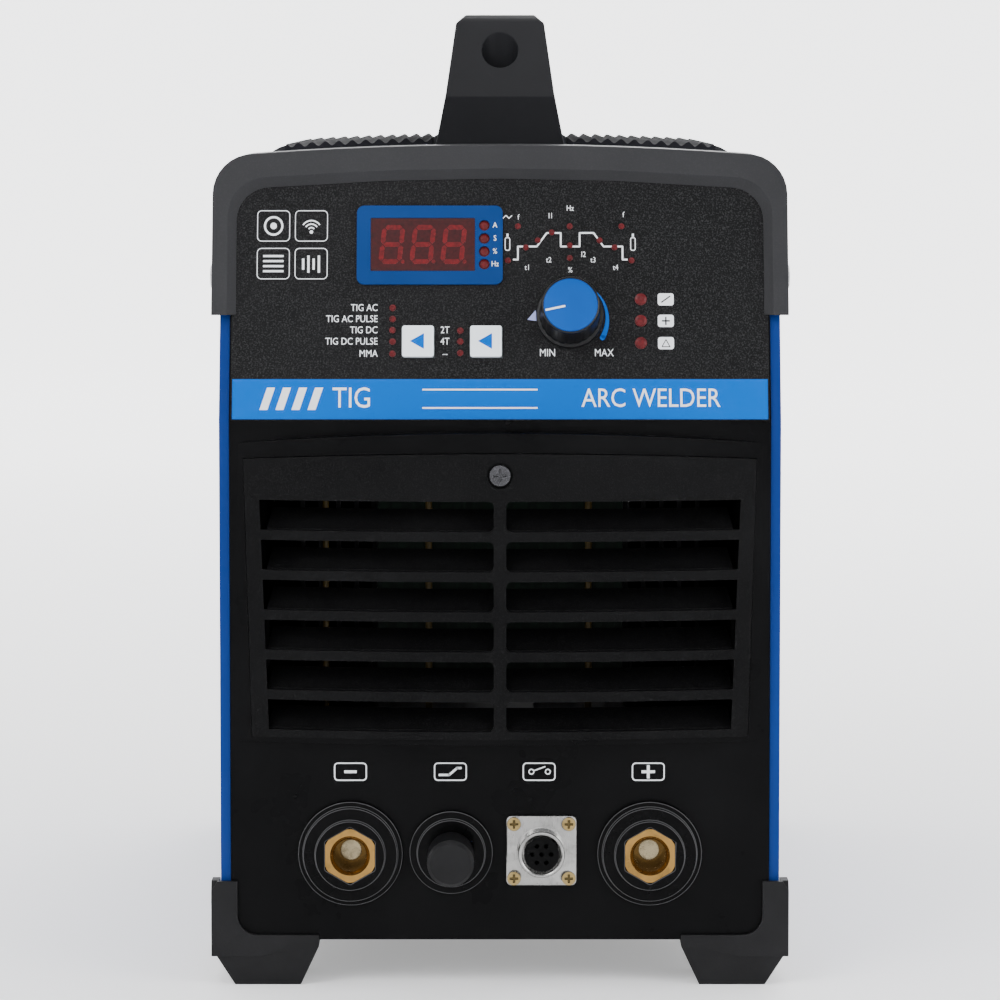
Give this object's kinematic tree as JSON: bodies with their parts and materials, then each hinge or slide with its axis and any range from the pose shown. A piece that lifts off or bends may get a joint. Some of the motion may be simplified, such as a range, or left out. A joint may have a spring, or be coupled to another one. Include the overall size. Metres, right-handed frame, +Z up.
{
  "type": "tig welding machine",
  "caption": "Portable inverter TIG welder in a sheet steel case with a leaning digital control panel, bowed grille, current sockets and carry handle.",
  "frame": {"origin": "on the floor, under the middle of the machine's box", "axes": "+Z up, +Y from the front panel to the rear, +X to the right seen from the front"},
  "size_m": [0.234, 0.47, 0.3909],
  "materials": {
    "base_tray": "gloss paint",
    "shelf": "plated steel",
    "case_paint": "gloss paint",
    "front_plastic": "fine moulded grain",
    "rear_paint": "gloss paint",
    "hood_plastic": "fine moulded grain",
    "handle_plastic": "fine moulded grain",
    "black_screws": "gloss paint",
    "mat_rubber": "moulded rubber",
    "overlay_film": "fine moulded grain",
    "bezel_plastic": "smooth gloss",
    "red_window": "smooth gloss",
    "digit_module": "fine moulded grain",
    "led_lenses": "smooth gloss",
    "button_plastic": "smooth gloss",
    "black_plastic": "fine moulded grain",
    "knob_plastic": "fine moulded grain",
    "steel_parts": "plated steel",
    "circuit_board": "fine moulded grain",
    "brass_parts": "machined",
    "grille_plastic": "fine moulded grain",
    "socket_plastic": "fine moulded grain",
    "cap_rubber": "moulded rubber",
    "connector_metal": "bright plated",
    "yellow_zinc": "machined",
    "foot_rubber": "moulded rubber",
    "fan_plastic": "fine moulded grain",
    "red_plastic": "smooth gloss",
    "heatsink_metal": "extruded",
    "capacitor_sleeve": "smooth gloss",
    "ferrite": "fine moulded grain",
    "copper_winding": "machined",
    "lead_rubber": "moulded rubber",
    "hose_rubber": "moulded rubber",
    "wire_jacket": "fine moulded grain"
  },
  "bodies": {
    "machine": {"base_tray": "base_tray", "inner_shelf": "shelf", "case_cover": "case_paint", "front_fascia": "front_plastic", "rear_panel": "rear_paint", "front_hood": "hood_plastic", "rear_hood": "hood_plastic", "handle": "handle_plastic", "handle_screws": "black_screws", "top_mats": "mat_rubber", "control_overlay": "overlay_film", "display_bezel": "bezel_plastic", "display_window": "red_window", "display_module": "digit_module", "indicator_leds": "led_lenses", "button_switches": "black_plastic", "encoder": "steel_parts", "control_board": "circuit_board", "board_posts": "brass_parts", "front_grille": "grille_plastic", "grille_screw": "black_screws", "negative_socket_flange": "socket_plastic", "positive_socket_flange": "socket_plastic", "negative_socket_body": "brass_parts", "positive_socket_body": "brass_parts", "socket_bolts": "brass_parts", "gas_outlet_flange": "socket_plastic", "gas_outlet_nipple": "brass_parts", "connector_shell": "connector_metal", "connector_insert": "black_plastic", "connector_screws": "yellow_zinc", "front_left_foot": "foot_rubber", "front_right_foot": "foot_rubber", "rear_left_foot": "foot_rubber", "rear_right_foot": "foot_rubber", "foot_screws": "steel_parts", "case_screws": "black_screws", "fan_frame": "fan_plastic", "fan_guard": "connector_metal", "power_switch": "black_plastic", "cable_gland": "black_plastic", "gas_inlet": "brass_parts", "earth_stud": "yellow_zinc", "heatsinks": "heatsink_metal", "power_boards": "circuit_board", "capacitors": "capacitor_sleeve", "main_transformer": "ferrite", "output_choke": "copper_winding", "output_leads": "lead_rubber", "gas_valve": "steel_parts", "gas_hose": "hose_rubber", "wire_harness": "wire_jacket"},
    "knob": {"knob": "knob_plastic", "knob_cap": "bezel_plastic", "encoder_shaft": "steel_parts"},
    "mode_key": {"mode_button": "button_plastic"},
    "trigger_key": {"trigger_button": "button_plastic"},
    "outlet_cap": {"gas_cap": "cap_rubber"},
    "rotor": {"fan_rotor": "fan_plastic"},
    "rocker": {"power_rocker": "red_plastic"}
  },
  "joints": [
    {"name": "knob_turn", "type": "hinge", "parent": "machine", "child": "knob", "pos_m": [0.028, -0.19388, 0.269], "axis": [0, 0.9659, -0.2588], "range_deg": [-38, 232]},
    {"name": "mode_press", "type": "slide", "parent": "machine", "child": "mode_key", "axis": [0, 0.9659, -0.2588], "range_m": [0, 0.0008], "stiffness_N_per_m": 1200, "springref_m": -0.0008},
    {"name": "trigger_press", "type": "slide", "parent": "machine", "child": "trigger_key", "axis": [0, 0.9659, -0.2588], "range_m": [0, 0.0008], "stiffness_N_per_m": 1200, "springref_m": -0.0008},
    {"name": "cap_pull", "type": "slide", "parent": "machine", "child": "outlet_cap", "axis": [0, -1, 0], "range_m": [0, 0.03]},
    {"name": "fan_spin", "type": "hinge", "parent": "machine", "child": "rotor", "pos_m": [0, 0.19, 0.18], "axis": [0, 1, 0], "continuous": true},
    {"name": "rocker_tilt", "type": "hinge", "parent": "machine", "child": "rocker", "pos_m": [0.052, 0.206, 0.285], "axis": [-1, 0, 0], "range_deg": [0, 24]}
  ]
}
